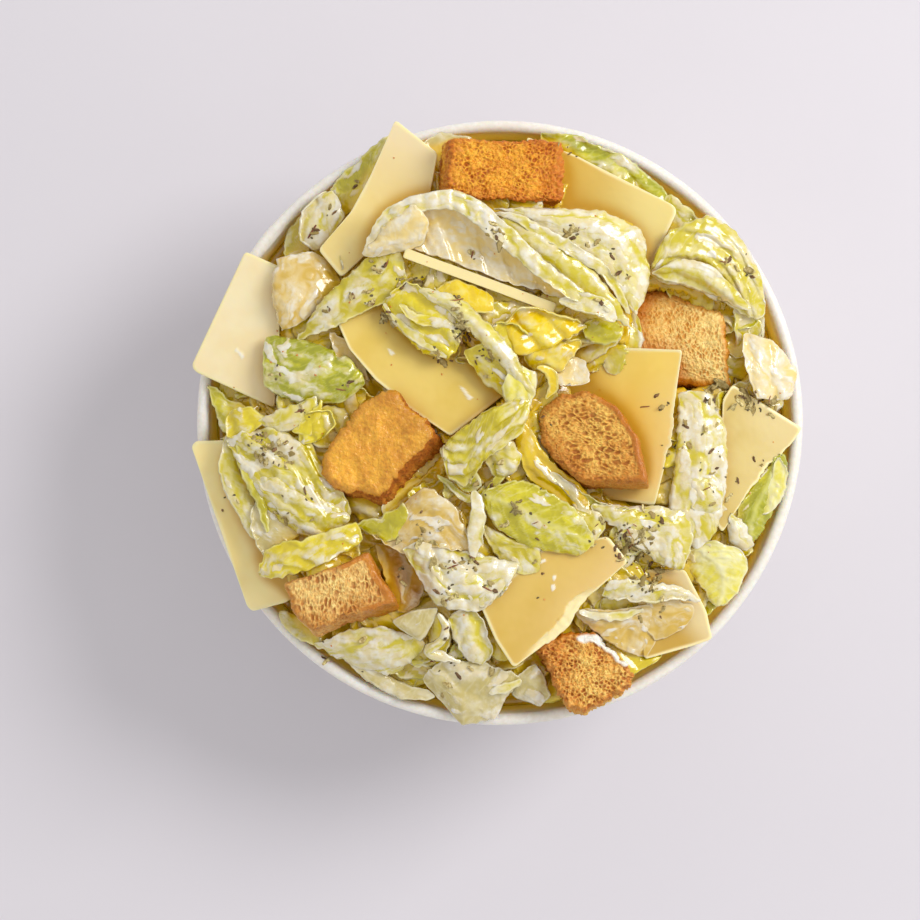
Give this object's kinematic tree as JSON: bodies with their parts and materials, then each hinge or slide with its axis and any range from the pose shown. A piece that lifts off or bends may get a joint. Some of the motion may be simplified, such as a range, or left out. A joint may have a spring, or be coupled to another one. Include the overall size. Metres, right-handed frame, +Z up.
{
  "type": "caesar salad",
  "caption": "Round white paper bowl heaped with dressed lettuce leaves, thin cheese slices, toasted bread croutons and flakes of dried herbs.",
  "frame": {"origin": "on the bowl's axis, in the plane that the bowl's foot ring stands on", "axes": "+Z up along the bowl's axis, +Y from the bowl's middle towards the crouton at the back rim, +X to the right of it"},
  "size_m": [0.1508, 0.1498, 0.0856],
  "materials": {
    "paper": "smooth coated white paper",
    "lettuce": "wet, coated with creamy dressing",
    "cheese": "satin",
    "toast": "rough toasted crumb"
  },
  "bodies": {
    "root": {"bowl": "paper", "lettuce_heap": "lettuce", "cheese_slice_1": "cheese", "cheese_slice_2": "cheese", "cheese_slice_3": "cheese", "cheese_slice_4": "cheese", "cheese_slice_5": "cheese", "cheese_slice_6": "cheese", "cheese_slice_7": "cheese", "cheese_slice_8": "cheese", "cheese_slice_9": "cheese", "cheese_slice_10": "cheese", "crouton_1": "toast", "crouton_2": "toast", "crouton_3": "toast", "crouton_4": "toast", "crouton_5": "toast", "crouton_6": "toast"}
  },
  "joints": []
}
